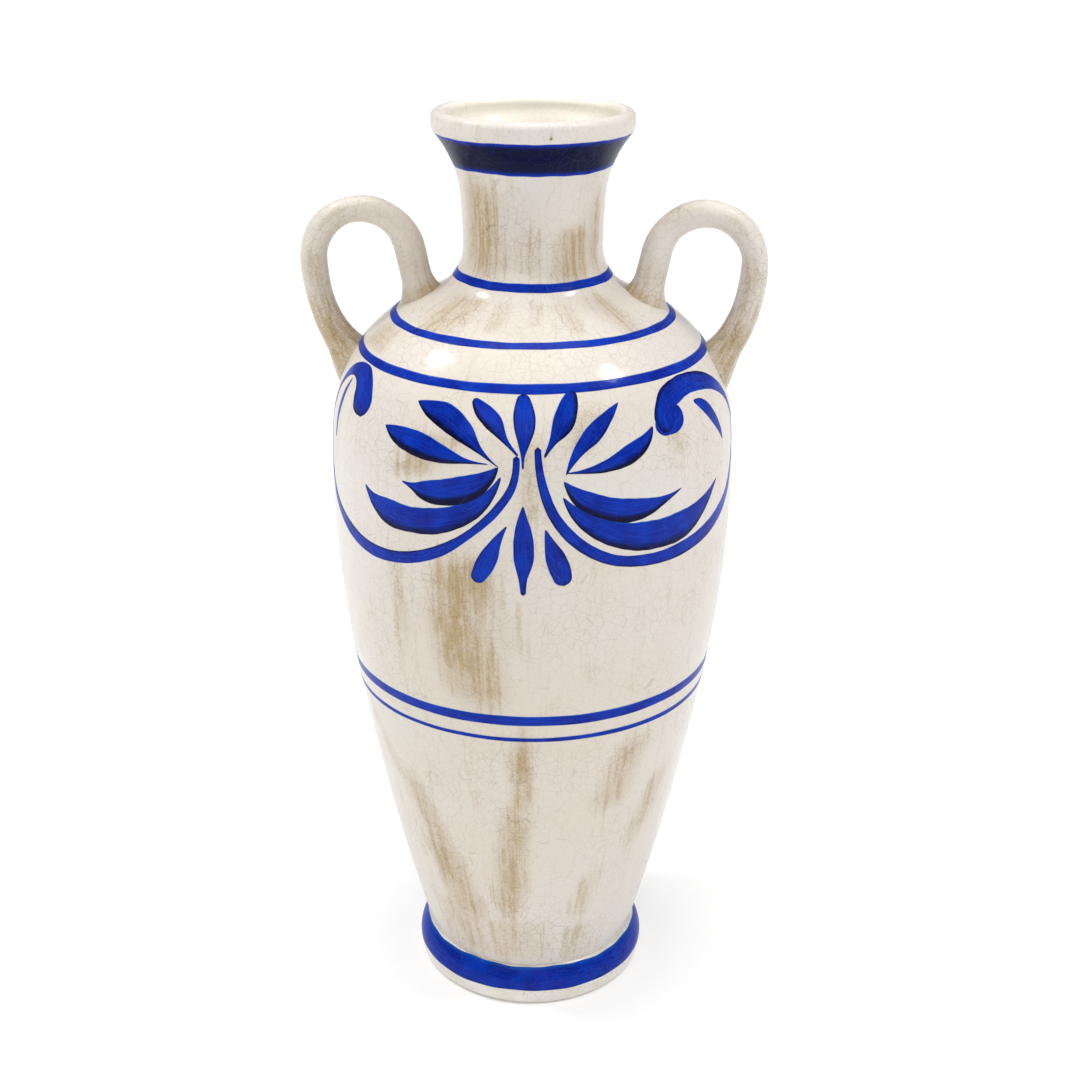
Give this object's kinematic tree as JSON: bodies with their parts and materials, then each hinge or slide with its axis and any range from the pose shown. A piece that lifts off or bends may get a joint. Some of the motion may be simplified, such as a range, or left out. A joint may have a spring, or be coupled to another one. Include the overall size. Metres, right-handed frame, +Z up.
{
  "type": "talavera pottery vase",
  "caption": "Tall two-handled glazed pottery vase with a flared collar and rolled lip, loop handles on the shoulder, a low foot ring and painted cobalt bands.",
  "frame": {"origin": "centre of the face that the foot rests on", "axes": "+Z up along the vase's axis; the handles lie on the X axis, and the painted front faces -Y"},
  "size_m": [0.1774, 0.1564, 0.36],
  "materials": {
    "ivory_glaze": "glossy crackle glaze over fired clay, with an umber wash brushed on in streaks",
    "cobalt_glaze": "glossy fired-on cobalt, brushed by hand",
    "navy_glaze": "glossy fired-on cobalt, laid on thick and dark",
    "bare_clay": "pale fired clay, satin"
  },
  "bodies": {
    "root": {"foot_ring": "bare_clay", "lower_body": "ivory_glaze", "shoulder": "ivory_glaze", "neck": "ivory_glaze", "lip": "ivory_glaze", "left_handle": "ivory_glaze", "right_handle": "ivory_glaze", "left_inner_root": "ivory_glaze", "left_outer_root": "ivory_glaze", "right_inner_root": "ivory_glaze", "right_outer_root": "ivory_glaze", "foot_band": "cobalt_glaze", "lower_belly_band": "cobalt_glaze", "upper_belly_band": "cobalt_glaze", "lower_shoulder_band": "cobalt_glaze", "upper_shoulder_band": "cobalt_glaze", "neck_band": "cobalt_glaze", "collar_band": "navy_glaze"}
  },
  "joints": []
}
